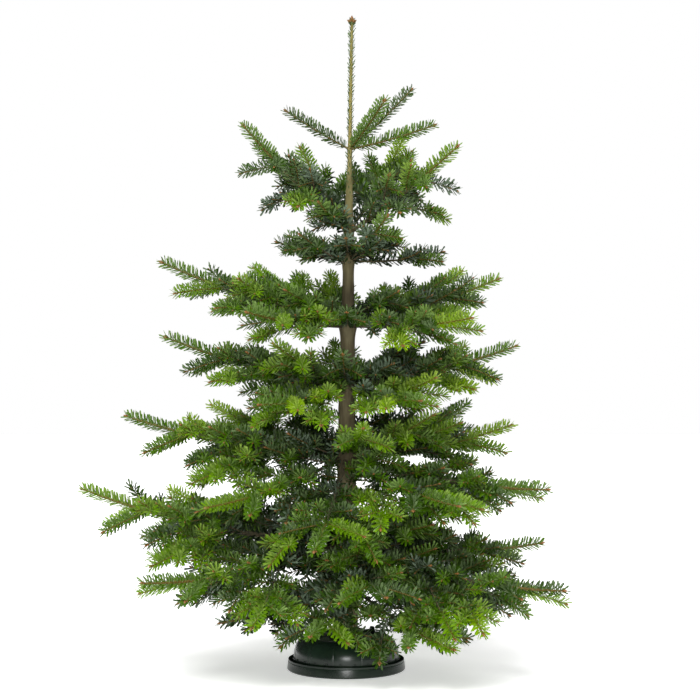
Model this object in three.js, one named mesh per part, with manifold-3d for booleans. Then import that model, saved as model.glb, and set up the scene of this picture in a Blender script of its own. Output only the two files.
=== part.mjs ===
// A cut Nordmann fir of about two metres, standing in a round moulded stand.
// Units are millimetres, +Z is up, and the origin is the middle of the stand's underside on the floor.
// The trunk leans a little towards +X. Azimuths run from +X (0 degrees) towards +Y (90 degrees).
//
// The tree is built the way it grows: a tapering trunk with a whorl of boughs for each year, a bare
// limb at the root of each main bough, and a spray of needled shoots that carries on from the limb's
// end. A shoot is a toothed blade with a three-cornered section: two wings of needles at the sides
// and a ridge of needles that stand up along the top.

import * as THREE from "three";
import { mergeVertices } from "three/addons/utils/BufferGeometryUtils.js";
import Module from "manifold-3d";

const wasm = await Module();
wasm.setup();

// ---- Driving dimensions ----

const treeTop = 2000;
const trunkLean = 17.7; // how far the tip stands towards +X of the cut end
const trunkSides = 8;
const seatGap = 0.3; // what pieces that bear on each other keep between them

// Height and radius of the trunk, from the flat cut through the flare to the year-old leader.
const trunkProfile = [
  [12, 43],
  [45, 39],
  [120, 36],
  [395, 32],
  [655, 28],
  [860, 25],
  [1053, 21],
  [1250, 16],
  [1335, 14],
  [1475, 10.5],
  [1600, 8.5],
  [1720, 7],
  [1955, 6],
];
// The trunk thickens where a whorl leaves it: steps above the whorl's height, and the swell there.
const collar = [
  [-26, 1],
  [0, 1.12],
  [30, 1],
];
// The cluster of buds at the top: height and radius.
const topBuds = [
  [1965, 9],
  [1982, 7],
];

// The stand: a drip tray, and a domed body that holds the trunk's foot in a well.
const stand = {
  trayRadius: 182,
  trayRim: 34,
  trayFloor: 4,
  trayWall: 3.5,
  rimDraft: 3.5, // the rim is this much narrower at its lip than at its foot
  trayChamfer: 4,
  bodyRadius: 162,
  upright: 40, // the body's wall stands upright this far before it domes in
  shoulderRadius: 128,
  deckRadius: 116,
  bodyTop: 104,
  bodyWall: 4,
  collarRadius: 52,
  collarTop: 122,
  wellFloor: 11.7,
  sides: 30,
};
const clampScrew = { count: 3, radius: 5, length: 44, height: 112, knobRadius: 13, knobLength: 9 };

// Each whorl: its height on the trunk, how far its boughs sag at mid-length as a share of their reach,
// how much its side shoots hang, a bough's radius at the trunk, the bare share of each bough, the years
// that its boughs have grown, and the boughs. A bough is a name, an azimuth in degrees, the reach of
// its tip from the trunk and the tip's rise above the whorl. A main bough's bare part is a limb of its
// own; the stem of a lesser bough belongs to its needles.
const main = true;
const whorls = [
  {
    name: "top",
    height: 1590,
    sag: 0.02,
    hang: 0,
    thick: 4,
    bare: 0.17,
    years: 1,
    boughs: [
      ["left", 172, 198, 121],
      ["right", 38, 246, 205],
      ["front", -66, 252, 119],
      ["low", -14, 262, 66],
    ],
  },
  {
    name: "second",
    height: 1335,
    sag: 0.03,
    hang: 0.65,
    thick: 6.5,
    bare: 0.24,
    years: 4,
    boughs: [
      ["left", 212, 368, 304, main],
      ["right", -34, 386, 240, main],
      ["back_right", 60, 370, 340],
      ["back_left", 125, 270, 286],
      ["front", -120, 180, 80],
    ],
  },
  {
    name: "inner",
    height: 1250,
    sag: 0.04,
    hang: 0.1,
    thick: 5,
    bare: 0.2,
    years: 2,
    boughs: [
      ["front", -62, 245, 122],
      ["right", 16, 305, 30],
      ["left", 196, 155, 32],
    ],
  },
  {
    name: "third",
    height: 1053,
    sag: 0.03,
    hang: 0.22,
    thick: 8,
    bare: 0.28,
    years: 4,
    boughs: [
      ["left", 178, 574, 193, main],
      ["right", 8, 470, 143, main],
      ["front_left", 228, 435, 32, main],
      ["front_right", -42, 480, 15],
      ["back_left", 124, 560, 195],
      ["back_right", 45, 525, 180],
    ],
  },
  {
    name: "fourth",
    height: 860,
    sag: 0.03,
    hang: 0.28,
    thick: 8.5,
    bare: 0.24,
    years: 4,
    boughs: [
      ["left", 174, 567, 156, main],
      ["right", 4, 520, 128, main],
      ["front_left", 236, 450, -40],
      ["front_right", -58, 400, -30],
      ["back_left", 128, 480, 30],
      ["back_right", 45, 545, 128],
    ],
  },
  {
    name: "fifth",
    height: 655,
    sag: 0.04,
    hang: 0.36,
    thick: 9.5,
    bare: 0.22,
    years: 4,
    boughs: [
      ["left", 177, 680, 117, main],
      ["right", -20, 630, -90, main],
      ["high_right", 14, 530, 85],
      ["front", -100, 520, -240],
      ["front_left", 222, 540, -130],
      ["front_right", -54, 540, -120],
      ["back_left", 137, 610, 140],
      ["back_right", 45, 560, 145],
    ],
  },
  {
    name: "sixth",
    height: 395,
    sag: 0.05,
    hang: 0.36,
    thick: 10,
    bare: 0.2,
    years: 4,
    boughs: [
      ["left", 183, 804, 159, main],
      ["right", 4, 604, -14, main],
      ["front_left", 213, 694, -84, main],
      ["front_right", -30, 721, -108, main],
      ["front", -78, 540, -105],
      ["back_left", 147, 690, 125],
      ["back_right", 66, 620, 30],
    ],
  },
  {
    name: "lowest",
    height: 268,
    sag: 0.04,
    hang: 0.3,
    thick: 8,
    bare: 0.15,
    years: 3,
    boughs: [
      ["left", 202, 405, -105],
      ["front", 256, 425, -105],
      ["front_right", -54, 520, -140],
      ["right", 20, 480, -112],
      ["back", 118, 470, -108],
    ],
  },
];

const lesserThickness = 0.7; // a lesser bough is this thick, as a share of a main one

const seed = 11;

// How a bough branches. Counting back from its tip, each year's growth is a fixed share of the one
// outside it, and a pair of side shoots leaves the joint between two years.
const terminalShare = 0.34; // the last year's growth, as a share of the whole
const longestYear = 205; // and at most this long
const yearRatio = 0.73;
const sideAngle = THREE.MathUtils.degToRad(52);
const sideAngleAtTip = THREE.MathUtils.degToRad(44);
const droopAtMiddle = 0.35; // how much of a side shoot's rise or droop shows at its middle
const sideShare = 0.62; // a side shoot's length, as a share of what is left of its parent
const sideMost = 0.42; // and at most this share of the whole parent
const newestShare = 0.9; // but the newest pair has this share of its parent's last year
const newestDip = 0.2; // and ends this far below its root, as a share of its length
const midShare = 0.7; // a pair midway along a year is this much of the full length
const midYears = 4; // and only a limb of this many years carries one
const sideThickness = 0.7; // a side shoot's thickness, as a share of its parent's at the joint
const lengthSpread = 0.14; // how far lengths vary to either side
const midRise = 0.3; // a pair midway along a year stands up by this share of its length
const tiltSpread = 0.1; // how far the rise of side shoots varies, as a share of their length
const shortestSide = 94; // side shoots under this length are left off
const shorterTries = [1, 0.8, 0.62]; // one that would touch a neighbour is shortened, then left off
const bareSide = 0.3; // a side shoot carries none of its own on this much of its length

// A shoot's needles. A blade has the wing's size along its last year's growth, and grows broader
// behind it, where the shoot is old enough to carry small ones of its own.
const toothPitch = 88;
const toothLean = 0.8; // how far forward a tooth's point stands, as a share of the pitch
const toothRoot = 0.65; // how wide the blade stays between two teeth, as a share of its width
const lastTooth = { point: 0.5, share: 0.85 }; // the tooth at the tip is blunter
const wing = { side: 28, below: 13, above: 26 };
const wingGrowth = 0.009; // how much of its width it gains for each millimetre back
const wingMost = 2; // and at most this many times its width at the tip
const stem = { side: 1, below: 0.6, above: 1 }; // times the shoot's thickness there
const stemTaper = 0.5; // a shoot's stem loses this share of its thickness on the way to its tip
const thinnestStem = 3.5;
const bareAtJoint = 27; // a side shoot's needles start this far from its parent's stem
const bareMost = 0.4; // and at most this far along it
const needleStart = 0.02; // a bough's needles start this much of its length beyond its bare part

// ---- Seeded chance, the same on every run ----
// Every shoot has a key of its own, made from its parent's key and its place on the parent.

const keyRange = 4294967296;
const nextKey = (key) => (key * 1664525 + 1013904223) % keyRange;
const chance = (key) => (2 * nextKey(nextKey(key))) / keyRange - 1; // a number from -1 to 1

// ---- Solids ----

function solidOf(geometry) {
  const bare = geometry.clone();
  bare.deleteAttribute("normal");
  bare.deleteAttribute("uv");
  const merged = mergeVertices(bare, 1e-3);
  return new wasm.Manifold(
    new wasm.Mesh({
      numProp: 3,
      vertProperties: merged.attributes.position.array,
      triVerts: new Uint32Array(merged.index.array),
    }),
  );
}

function geometryOf(solid) {
  const mesh = solid.getMesh();
  const geometry = new THREE.BufferGeometry();
  geometry.setAttribute("position", new THREE.BufferAttribute(mesh.vertProperties, 3));
  geometry.setIndex(new THREE.BufferAttribute(mesh.triVerts, 1));
  geometry.computeVertexNormals();
  return geometry;
}

// A closed skin over rings of points, each ring seen anticlockwise from the way that the rings run.
function loft(rings, apex) {
  const sides = rings[0].length;
  const points = rings.flat();
  const faces = [];
  for (let j = 1; j < rings.length; j++) {
    const a = (j - 1) * sides;
    const b = j * sides;
    for (let i = 0; i < sides; i++) {
      const k = (i + 1) % sides;
      faces.push(a + i, a + k, b + k, a + i, b + k, b + i);
    }
  }
  for (let i = 1; i < sides - 1; i++) faces.push(0, i + 1, i);
  const last = (rings.length - 1) * sides;
  if (apex) {
    points.push(apex);
    for (let i = 0; i < sides; i++) faces.push(last + i, last + ((i + 1) % sides), points.length - 1);
  } else {
    for (let i = 1; i < sides - 1; i++) faces.push(last, last + i, last + i + 1);
  }
  const geometry = new THREE.BufferGeometry().setFromPoints(points);
  geometry.setIndex(faces);
  return geometry;
}

// ---- Trunk ----

const trunkAxis = (z) => new THREE.Vector3(trunkLean * (z / treeTop) ** 2, 0, z);

function trunkRadius(z) {
  const above = trunkProfile.findIndex(([height]) => height >= z);
  if (above <= 0) return trunkProfile.at(above)[1];
  const [z0, r0] = trunkProfile[above - 1];
  const [z1, r1] = trunkProfile[above];
  return r0 + ((r1 - r0) * (z - z0)) / (z1 - z0);
}

function trunkRing(z, radius) {
  const middle = trunkAxis(z);
  return Array.from({ length: trunkSides }, (_, i) => {
    const turn = (2 * Math.PI * i) / trunkSides;
    return new THREE.Vector3(radius * Math.cos(turn), radius * Math.sin(turn), 0).add(middle);
  });
}

function trunkSolid(grown = 0) {
  const rings = [];
  const extra = grown / Math.cos(Math.PI / trunkSides);
  const collars = [...new Set(whorls.map((whorl) => whorl.height))];
  const heights = trunkProfile.map(([z]) => z).filter((z) => !collars.includes(z));
  for (const z of heights) rings.push([z, trunkRadius(z)]);
  for (const z of collars) {
    for (const [step, swell] of collar) rings.push([z + step, trunkRadius(z + step) * swell]);
  }
  rings.sort((a, b) => a[0] - b[0]);
  rings.push(...topBuds);
  return solidOf(
    loft(
      rings.map(([z, radius]) => trunkRing(z, radius + extra)),
      trunkAxis(treeTop + grown),
    ),
  );
}

// ---- Stand ----

function turned(profile, sides) {
  const outline = [...profile, profile[0]].map(([radius, z]) => new THREE.Vector2(radius, z));
  return new THREE.LatheGeometry(outline, sides).rotateX(Math.PI / 2);
}

function traySolid() {
  const { trayRadius: foot, rimDraft, trayRim, trayWall, trayFloor, trayChamfer, sides } = stand;
  const lip = foot - rimDraft;
  return solidOf(
    turned(
      [
        [0, 0],
        [foot - trayChamfer, 0],
        [foot, trayChamfer],
        [lip, trayRim],
        [lip - trayWall, trayRim],
        [foot - trayWall - 1, trayFloor],
        [0, trayFloor],
      ],
      sides,
    ),
  );
}

// One moulding: the domed skirt, the deck, the collar round the trunk and the well under it.
function bodySolid(grownTrunk) {
  const { bodyRadius, upright, shoulderRadius, deckRadius, bodyTop, bodyWall, trayFloor } = stand;
  const { collarRadius, collarTop, wellFloor, sides } = stand;
  const foot = trayFloor + seatGap;
  const knee = foot + upright;
  const dome = new THREE.EllipseCurve(deckRadius, knee, bodyRadius - deckRadius, bodyTop - knee, 0, 1.2);
  const skirt = dome.getPoints(4).map((p) => [p.x, p.y]);
  const wall = [
    [collarRadius, foot],
    [collarRadius, bodyTop - bodyWall],
    [shoulderRadius - bodyWall, bodyTop - 2.5 * bodyWall],
    [bodyRadius - 1.4 * bodyWall, knee],
    [bodyRadius - bodyWall, foot],
  ];
  const outside = [
    [bodyRadius, foot],
    ...skirt,
    [deckRadius - bodyWall, bodyTop],
    [collarRadius, bodyTop],
    [collarRadius, collarTop],
    [0, collarTop],
    [0, foot],
  ];
  const moulding = solidOf(turned([...outside, ...wall], sides));
  const well = solidOf(
    turned(
      [
        [0, wellFloor],
        [collarRadius - bodyWall, wellFloor],
        [collarRadius - bodyWall, bodyTop - bodyWall],
        [0, bodyTop - bodyWall],
      ],
      sides,
    ),
  );
  const { count, radius, length, height, knobRadius, knobLength } = clampScrew;
  const reach = collarRadius - bodyWall;
  const screws = [];
  for (let i = 0; i < count; i++) {
    const shaft = new THREE.CylinderGeometry(radius, radius, length, 8);
    const knob = new THREE.CylinderGeometry(knobRadius, knobRadius, knobLength, 6);
    shaft.rotateZ(Math.PI / 2).translate(reach + length / 2, 0, height);
    knob.rotateZ(Math.PI / 2).translate(reach + length, 0, height);
    const turn = ((i + 0.25) * 2 * Math.PI) / count;
    for (const piece of [shaft, knob]) screws.push(solidOf(piece.rotateZ(turn)));
  }
  return wasm.Manifold.union([moulding, ...screws]).subtract(well).subtract(grownTrunk);
}

// ---- Limbs and shoots ----

// Where a limb runs: a shallow sagging curve from the trunk's axis out to the bough's tip.
function limbCurve(whorl, azimuth, reach, rise) {
  const turn = THREE.MathUtils.degToRad(azimuth);
  const out = new THREE.Vector3(Math.cos(turn), Math.sin(turn), 0);
  const root = trunkAxis(whorl.height);
  const tip = root.clone().addScaledVector(out, reach).add(new THREE.Vector3(0, 0, rise));
  const middle = root.clone().add(tip).multiplyScalar(0.5);
  middle.z -= 2 * whorl.sag * reach;
  return new THREE.QuadraticBezierCurve3(root, middle, tip);
}

// The level side and the upward direction square to a curve at t.
function frameAt(curve, t) {
  const forward = curve.getTangent(t);
  const side = new THREE.Vector3(0, 0, 1).cross(forward).normalize();
  const up = forward.clone().cross(side);
  return { point: curve.getPoint(t), forward, side, up };
}

// A side shoot: it leaves its parent at an angle, and bends a little back towards the parent's way.
// Its tilt is how far it stands above the flat of the spray, as a share of its length.
function sideCurve(parent, t, hand, length, tilt) {
  const { point, forward, side } = frameAt(parent, t);
  const heading = (angle) =>
    forward
      .clone()
      .multiplyScalar(Math.cos(angle))
      .addScaledVector(side, hand * Math.sin(angle));
  const middle = point.clone().addScaledVector(heading(sideAngle), length / 2);
  const tip = point.clone().addScaledVector(heading(sideAngleAtTip), length);
  middle.z += droopAtMiddle * tilt * length;
  tip.z += tilt * length;
  return new THREE.QuadraticBezierCurve3(point, middle, tip);
}

const section = ({ point, side, up }, { side: w, below, above }) => [
  point.clone().addScaledVector(side, w).addScaledVector(up, -below),
  point.clone().addScaledVector(up, above),
  point.clone().addScaledVector(side, -w).addScaledVector(up, -below),
];

const scaled = (shape, by) => ({ side: shape.side * by, below: shape.below * by, above: shape.above * by });

const stemThickness = (thick, t) => Math.max(thinnestStem, thick * (1 - stemTaper * t));

// How far back from a shoot's tip its last year's growth began.
const lastYear = (length, years) => (years > 1 ? Math.min(terminalShare * length, longestYear) : length);

// How much broader than at its tip a shoot is, this far behind its last year's growth.
const breadth = (behind) => Math.min(wingMost, 1 + Math.max(0, behind) * wingGrowth);

// A toothed blade along a curve from share t0 to its tip. Needles start at share t1.
function shootSolid(curve, t0, t1, thick, years) {
  const length = curve.getLength();
  const fresh = lastYear(length, years);
  const needled = (1 - t1) * length;
  const joints = [0];
  while (joints.at(-1) < needled) joints.push(joints.at(-1) + toothPitch * breadth(joints.at(-1) - fresh));
  const fit = needled / joints.at(-1);
  const roots = joints.map((back) => 1 - (back * fit) / length).reverse();
  const stemRing = (t) => section(frameAt(curve, t), scaled(stem, stemThickness(thick, t)));
  const wingRing = (t, share) =>
    section(frameAt(curve, t), scaled(wing, share * breadth((1 - t) * length - fresh)));
  const rings = t1 > t0 ? [stemRing(t0)] : [];
  roots.slice(0, -1).forEach((root, i) => {
    const last = i === roots.length - 2;
    rings.push(i === 0 ? stemRing(root) : wingRing(root, toothRoot));
    const point = root + (last ? lastTooth.point : toothLean) * (roots[i + 1] - root);
    rings.push(wingRing(point, last ? lastTooth.share : 1));
  });
  return solidOf(loft(rings, curve.getPoint(1)));
}

// A bare limb: six-sided, tapering, from the trunk's axis to the share where needles start.
function limbSolid(curve, radius, bare, grownTrunk) {
  const rings = [0, 0.5, 1].map((share) => {
    const { point, side, up } = frameAt(curve, share * bare);
    const thick = stemThickness(radius, share * bare);
    return Array.from({ length: 6 }, (_, i) => {
      const turn = (2 * Math.PI * i) / 6;
      return point
        .clone()
        .addScaledVector(side, thick * Math.cos(turn))
        .addScaledVector(up, thick * Math.sin(turn));
    });
  });
  return largest(solidOf(loft(rings)).subtract(grownTrunk));
}

function largest(solid) {
  return solid.decompose().sort((a, b) => b.volume() - a.volume())[0];
}

// ---- Assembly ----

const colours = {
  bark: [0x6b5b4b, 0.9],
  limb: [0x7a6448, 0.88],
  needles: [0x2f5a24, 0.6],
  stand: [0x1c2622, 0.4],
};

const tree = new THREE.Group();
function addNode(name, solid, colour) {
  const [color, roughness] = colours[colour];
  const mesh = new THREE.Mesh(
    geometryOf(solid),
    new THREE.MeshStandardMaterial({ color, roughness, metalness: 0 }),
  );
  mesh.name = name;
  tree.add(mesh);
}

const grownTrunk = trunkSolid(seatGap);
const fixed = [trunkSolid(), traySolid(), bodySolid(grownTrunk)];
addNode("trunk", fixed[0], "bark");
addNode("stand_tray", fixed[1], "stand");
addNode("stand_body", fixed[2], "stand");

// Every limb and leading shoot comes first, so that side shoots can keep clear of them.
const masses = [];
for (const whorl of whorls) {
  for (const [side, azimuth, reach, rise, isMain] of whorl.boughs) {
    const curve = limbCurve(whorl, azimuth, reach, rise);
    const name = `${whorl.name}_${side}`;
    const thick = whorl.thick * (isMain ? 1 : lesserThickness);
    if (isMain) {
      const limb = limbSolid(curve, thick, whorl.bare, grownTrunk);
      addNode(`bough_${name}`, limb, "limb");
      fixed.push(limb);
    }
    const start = isMain ? whorl.bare + seatGap / curve.getLength() : 0;
    const shoot = shootSolid(curve, start, whorl.bare + needleStart, thick, whorl.years);
    masses.push({ name, whorl, curve, thick, shoots: [largest(shoot.subtract(grownTrunk))] });
  }
}

// True if a solid keeps the seat gap from everything that belongs to other nodes.
function clearOf(solid, own) {
  const box = solid.boundingBox();
  const others = [...fixed, ...masses.filter((mass) => mass !== own).flatMap((mass) => mass.shoots)];
  return others.every((other) => {
    const near = other.boundingBox();
    const apart = [0, 1, 2].some((k) => near.min[k] > box.max[k] + 1 || near.max[k] < box.min[k] - 1);
    return apart || other.minGap(solid, 1) > seatGap;
  });
}

// Adds a pair of side shoots at each joint between two years, a shorter pair midway along each older
// year, and their own side shoots in turn.
function branch(mass, parent, years, from, thick, key) {
  const whole = parent.getLength();
  const fresh = lastYear(whole, years);
  const jointBack = (year) => (fresh * (1 - yearRatio ** year)) / (1 - yearRatio);
  for (let half = 2; half < 2 * years; half++) {
    const atJoint = half % 2 === 0;
    const year = Math.floor(half / 2);
    const back = atJoint ? jointBack(year) : (jointBack(year) + jointBack(year + 1)) / 2;
    const t = 1 - back / whole;
    if (t < from || (!atJoint && years < midYears)) continue;
    const older = Math.min(sideShare * back, sideMost * whole);
    const newest = half === 2;
    const full = newest ? newestShare * fresh : older * (atJoint ? 1 : midShare);
    const dip = -newestDip - Math.cos(sideAngleAtTip) * parent.getTangent(t).z;
    const rise = newest ? dip : atJoint ? -mass.whorl.hang : midRise;
    const thinner = sideThickness * stemThickness(thick, t);
    for (const hand of [-1, 1]) {
      const sideKey = nextKey(key + 2 * half + (hand + 1) / 2);
      const length = full * (1 + lengthSpread * chance(sideKey));
      const tilt = rise + tiltSpread * chance(nextKey(sideKey));
      if (length < shortestSide) continue;
      for (const shorter of shorterTries) {
        const curve = sideCurve(parent, t, hand, shorter * length, tilt);
        const bareLength = (bareAtJoint * breadth(back - fresh)) / Math.sin(sideAngle);
        const grown = atJoint ? year : 1;
        const shoot = shootSolid(curve, 0, Math.min(bareMost, bareLength / length), thinner, grown);
        if (!clearOf(shoot, mass)) continue;
        mass.shoots.push(shoot);
        if (atJoint) branch(mass, curve, year, bareSide, thinner, sideKey);
        break;
      }
    }
  }
}

masses.forEach((mass, i) => {
  const { whorl, curve, thick } = mass;
  branch(mass, curve, whorl.years, whorl.bare + needleStart, thick, seed + i * whorl.height);
  addNode(`foliage_${mass.name}`, wasm.Manifold.union(mass.shoots), "needles");
});

export default tree;
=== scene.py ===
# %% [markdown]
# # A cut fir in its stand
#
# The object is a Nordmann fir of about two metres, cut for indoors and standing in a round moulded
# stand. Its trunk carries a whorl of boughs for each year, and each bough is a spray of shoots set
# with flat, blunt needles. It could be made from one modelled branch that is copied round the trunk,
# but then every side of the crown looks the same. So the lesson grows it by a rule instead: the same
# few lines of arithmetic give the boughs, their side shoots and their finest twigs, and Geometry
# Nodes then dress the twigs with needles and buds.

import math

import bpy
import numpy as np
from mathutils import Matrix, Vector, noise


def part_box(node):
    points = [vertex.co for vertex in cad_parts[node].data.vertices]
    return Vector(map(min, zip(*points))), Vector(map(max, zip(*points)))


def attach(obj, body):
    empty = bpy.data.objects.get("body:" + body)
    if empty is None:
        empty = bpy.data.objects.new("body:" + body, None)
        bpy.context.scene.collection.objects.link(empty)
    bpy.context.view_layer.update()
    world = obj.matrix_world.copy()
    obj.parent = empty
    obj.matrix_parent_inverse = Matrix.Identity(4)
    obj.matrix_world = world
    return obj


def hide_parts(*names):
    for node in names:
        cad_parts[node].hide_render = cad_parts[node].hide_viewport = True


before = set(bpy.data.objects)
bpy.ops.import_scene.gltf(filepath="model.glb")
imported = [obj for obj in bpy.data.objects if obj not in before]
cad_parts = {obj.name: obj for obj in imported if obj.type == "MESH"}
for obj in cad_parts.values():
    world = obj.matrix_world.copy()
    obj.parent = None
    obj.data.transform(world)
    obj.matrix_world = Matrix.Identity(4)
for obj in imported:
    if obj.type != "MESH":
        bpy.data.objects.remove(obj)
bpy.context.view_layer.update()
trunk_low, trunk_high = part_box("trunk")

# %% [markdown]
# ## Studio: floor, light and camera
#
# The tree stands on a plain pale floor in soft light, against white. A backdrop could curve up behind
# it, but a level floor as pale as the background has no edge to show, so the floor glows a little, as
# a light table does. A broad main light stands high at the front left, a weaker one high behind at the
# right, and a third low in front, where it shines in under the boughs. The world lights very weakly,
# so that the inside of the crown stays dark. The camera is level and a little under mid-height, as far
# away as a long lens needs.

# %% Floor, light and camera
scene = bpy.context.scene
scene.view_settings.view_transform = "Standard"
floor_size, floor_glow = 30.0, 0.50
background_light, fill_share = 1.0, 0.06


def node(tree, kind, inputs, **settings):
    """Adds a node, sets its options, and links or sets its inputs by name or number."""
    made = tree.nodes.new(kind)
    for option, value in settings.items():
        setattr(made, option, value)
    for label, value in inputs.items():
        if isinstance(value, bpy.types.NodeSocket):
            tree.links.new(value, made.inputs[label])
        else:
            made.inputs[label].default_value = value
    return made


def studio_world():
    """White where the camera looks past the tree, and a dimmer white as the light that fills in."""
    made = bpy.data.worlds.new("studio")
    made.use_nodes = True
    tree = made.node_tree
    seen = node(tree, "ShaderNodeLightPath", {}).outputs["Is Camera Ray"]
    dim = background_light * fill_share
    strength = node(tree, "ShaderNodeMapRange", {"Value": seen, "To Min": dim, "To Max": background_light})
    shade = tree.nodes["Background"]
    shade.inputs["Color"].default_value = (1, 1, 1, 1)
    tree.links.new(strength.outputs["Result"], shade.inputs["Strength"])
    return made


scene.world = studio_world()


def in_scene(name, data):
    made = bpy.data.objects.new(name, data)
    scene.collection.objects.link(made)
    return made


def plain_mesh(name, points, faces, edges=()):
    """A mesh object at the origin, with its place in its points."""
    mesh = bpy.data.meshes.new(name)
    mesh.from_pydata([tuple(p) for p in points], list(edges), list(faces))
    mesh.update()
    return in_scene(name, mesh)


def broad_light(name, azimuth, elevation, spread, strength):
    """A broad light from far away, so that floor and crown are lit alike all over."""
    lamp = bpy.data.lights.new(name, "SUN")
    lamp.angle, lamp.energy = math.radians(spread), strength
    made = in_scene(name, lamp)
    made.rotation_euler = (math.radians(90 - elevation), 0, math.radians(azimuth + 90))
    return made


half = floor_size / 2
floor = plain_mesh(
    "floor",
    [(-half, -half, 0), (half, -half, 0), (half, half, 0), (-half, half, 0)],
    [(0, 1, 2, 3)],
)
broad_light("main_light", -112, 60, 34, 3.15)
broad_light("back_light", 60, 50, 60, 0.8)
broad_light("front_light", -89, 11, 15, 1.0)

camera_place, lens_length, sensor_width = (0.0116, -5.5, 0.976), 92.4, 36.0
camera_data = bpy.data.cameras.new("camera")
camera_data.lens, camera_data.sensor_width = lens_length, sensor_width
camera = in_scene("camera", camera_data)
camera.location = camera_place
camera.rotation_euler = (math.radians(90), 0, 0)
scene.camera = camera
print("camera", tuple(round(v, 3) for v in camera.location))

# %% [markdown]
# ## Finishes
#
# Bark, twig and moulded plastic have grain, so each gets a small node tree that reads Object
# coordinates. A needle is far too small to show grain, and there are many thousands, so needles take
# plain colours: a darker glossy one above and a paler one below, in a handful of tones that are dealt
# out by spray further on. A single helper sets up the shader, so that each finish below is a few lines.

# %% Helpers for finishes
def finish_of(name, colour, roughness):
    """A new material and its shader node, with a plain colour to begin with."""
    made = bpy.data.materials.new(name)
    made.use_nodes = True
    shader = made.node_tree.nodes["Principled BSDF"]
    shader.inputs["Base Color"].default_value = (*colour, 1)
    shader.inputs["Roughness"].default_value = roughness
    return made, shader


def object_place(tree):
    return node(tree, "ShaderNodeTexCoord", {}).outputs["Object"]


def noise_at(tree, scale, stretch=(1, 1, 1), detail=4.0):
    """Noise on Object coordinates, stretched along an axis where the grain is."""
    grain = node(tree, "ShaderNodeMapping", {"Vector": object_place(tree), "Scale": stretch})
    inputs = {"Vector": grain.outputs["Vector"], "Scale": scale, "Detail": detail}
    return node(tree, "ShaderNodeTexNoise", inputs).outputs["Fac"]


def share_of_height(tree, low, high):
    """A value from 0 to 1 between two heights above the floor."""
    apart = node(tree, "ShaderNodeSeparateXYZ", {"Vector": object_place(tree)})
    inputs = {"Value": apart.outputs["Z"], "From Min": low, "From Max": high}
    return node(tree, "ShaderNodeMapRange", inputs).outputs["Result"]


def ramp_of(tree, value, stops):
    """Turns a value into colours, through stops of (position, colour)."""
    ramp = node(tree, "ShaderNodeValToRGB", {"Fac": value})
    while len(ramp.color_ramp.elements) < len(stops):
        ramp.color_ramp.elements.new(0.5)
    for element, (position, colour) in zip(ramp.color_ramp.elements, stops):
        element.position, element.color = position, (*colour, 1)
    return ramp.outputs["Color"]


def mixed(tree, factor, first, second, blend="MIX"):
    inputs = {"Factor": factor, "A": first, "B": second}
    mix = node(tree, "ShaderNodeMix", inputs, data_type="RGBA", blend_type=blend)
    return mix.outputs["Result"]


def raised_by(tree, shader, height, strength, distance):
    """Lets a value raise the surface that the light sees."""
    bump = node(tree, "ShaderNodeBump", {"Height": height, "Strength": strength, "Distance": distance})
    tree.links.new(bump.outputs["Normal"], shader.inputs["Normal"])


# %% [markdown]
# ### Floor, bark and twig
#
# A fir's trunk is smooth and grey-brown, with a fine upright grain and paler patches. It turns olive
# where it is only a few years old, and pale on the leader. Height decides that, so ramps over Object Z
# mix one bark into the next. The boughs have the same bark, only darker, partly because their bark is
# darker and partly as painted shade for the shade inside the crown. Twigs are yellow-brown, with a
# faint grain of their own.

# %% Floor, bark and twig
floor_paint, floor_shader = finish_of("pale_floor", (0.97, 0.97, 0.97), 0.7)
floor_shader.inputs["Emission Color"].default_value = (1, 1, 1, 1)
floor_shader.inputs["Emission Strength"].default_value = floor_glow
floor.data.materials.append(floor_paint)
olive_from, olive_to, pale_from, pale_to = 1.15, 1.45, 1.52, 1.64


def bark_finish(name, paleness):
    """Grey-brown bark with an upright grain, which turns olive and then pale up the trunk."""
    made, shader = finish_of(name, (0.2, 0.15, 0.11), 0.85)
    tree = made.node_tree
    patches = noise_at(tree, 26, (1, 1, 0.45), 5)
    grain = noise_at(tree, 110, (1, 1, 0.1), 4)
    old = [(0.3, (0.110, 0.090, 0.046)), (0.52, (0.180, 0.150, 0.078)), (0.72, (0.270, 0.235, 0.130))]
    streaks = [(0.36, (0.42, 0.38, 0.32)), (0.6, (1, 1, 1))]
    olive = [(0.35, (0.155, 0.135, 0.048)), (0.65, (0.305, 0.270, 0.105))]
    pale = [(0.35, (0.225, 0.185, 0.045)), (0.65, (0.400, 0.330, 0.105))]
    bark = mixed(tree, 0.6, ramp_of(tree, patches, old), ramp_of(tree, grain, streaks), "MULTIPLY")
    for low, high, stops in ((olive_from, olive_to, olive), (pale_from, pale_to, pale)):
        bark = mixed(tree, share_of_height(tree, low, high), bark, ramp_of(tree, patches, stops))
    # Painted shade in part: a paleness under 1 darkens the whole bark, as on the boughs, partly for their
    # darker bark and partly for the shade inside the crown.
    bark = mixed(tree, 1.0, bark, (paleness, paleness, paleness, 1), "MULTIPLY")
    tree.links.new(bark, shader.inputs["Base Color"])
    raised_by(tree, shader, grain, 0.35, 0.0015)
    return made


def twig_finish(name, colour, roughness):
    """One colour, with a grain fine enough for a twig or a bud."""
    made, shader = finish_of(name, colour, roughness)
    raised_by(made.node_tree, shader, noise_at(made.node_tree, 300, (1, 1, 1), 2), 0.35, 0.0008)
    return made


fir_bark = bark_finish("fir_bark", 1.0)
# The boughs get a darker copy of the bark: partly darker bark, partly painted shade inside the crown.
bough_bark = bark_finish("bough_bark", 0.55)
old_twig = twig_finish("old_twig", (0.170, 0.125, 0.070), 0.8)
young_twig = twig_finish("young_twig", (0.175, 0.108, 0.018), 0.65)
bud_scale = twig_finish("bud_scale", (0.270, 0.120, 0.030), 0.5)
print("bark, twig and bud finishes made")
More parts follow.
